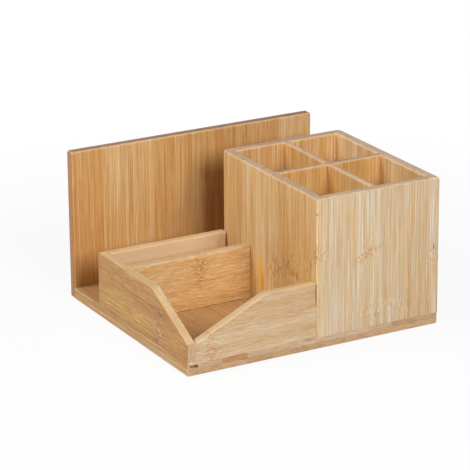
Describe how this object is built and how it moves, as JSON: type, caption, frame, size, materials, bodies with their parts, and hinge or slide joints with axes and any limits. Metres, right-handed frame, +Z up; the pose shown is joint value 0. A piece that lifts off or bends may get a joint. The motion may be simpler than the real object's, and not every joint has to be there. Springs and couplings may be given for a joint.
{
  "type": "desk organiser",
  "caption": "Bamboo desk organiser on a flat base: a square pen box with crossed dividers, a low note tray whose front corner drops away, and a tall back panel with a letter slot before it.",
  "frame": {"origin": "on the desk, under the middle of the whole footprint", "axes": "+X to the right as seen from the front, +Y to the rear, towards the back panel, +Z up"},
  "size_m": [0.206, 0.186, 0.1148],
  "materials": {
    "base_bamboo": "satin",
    "panel_bamboo": "satin",
    "pen_box_bamboo": "satin",
    "divider_bamboo": "satin",
    "tray_bamboo": "satin"
  },
  "bodies": {
    "root": {"base_plate": "base_bamboo", "back_panel": "panel_bamboo", "pen_box_left_wall": "pen_box_bamboo", "pen_box_right_wall": "pen_box_bamboo", "pen_box_front_wall": "pen_box_bamboo", "pen_box_rear_wall": "pen_box_bamboo", "pen_divider_long": "divider_bamboo", "pen_divider_cross": "divider_bamboo", "tray_left_wall": "tray_bamboo", "tray_front_wall": "tray_bamboo", "tray_divider": "tray_bamboo", "tray_rear_wall": "tray_bamboo"}
  },
  "joints": []
}
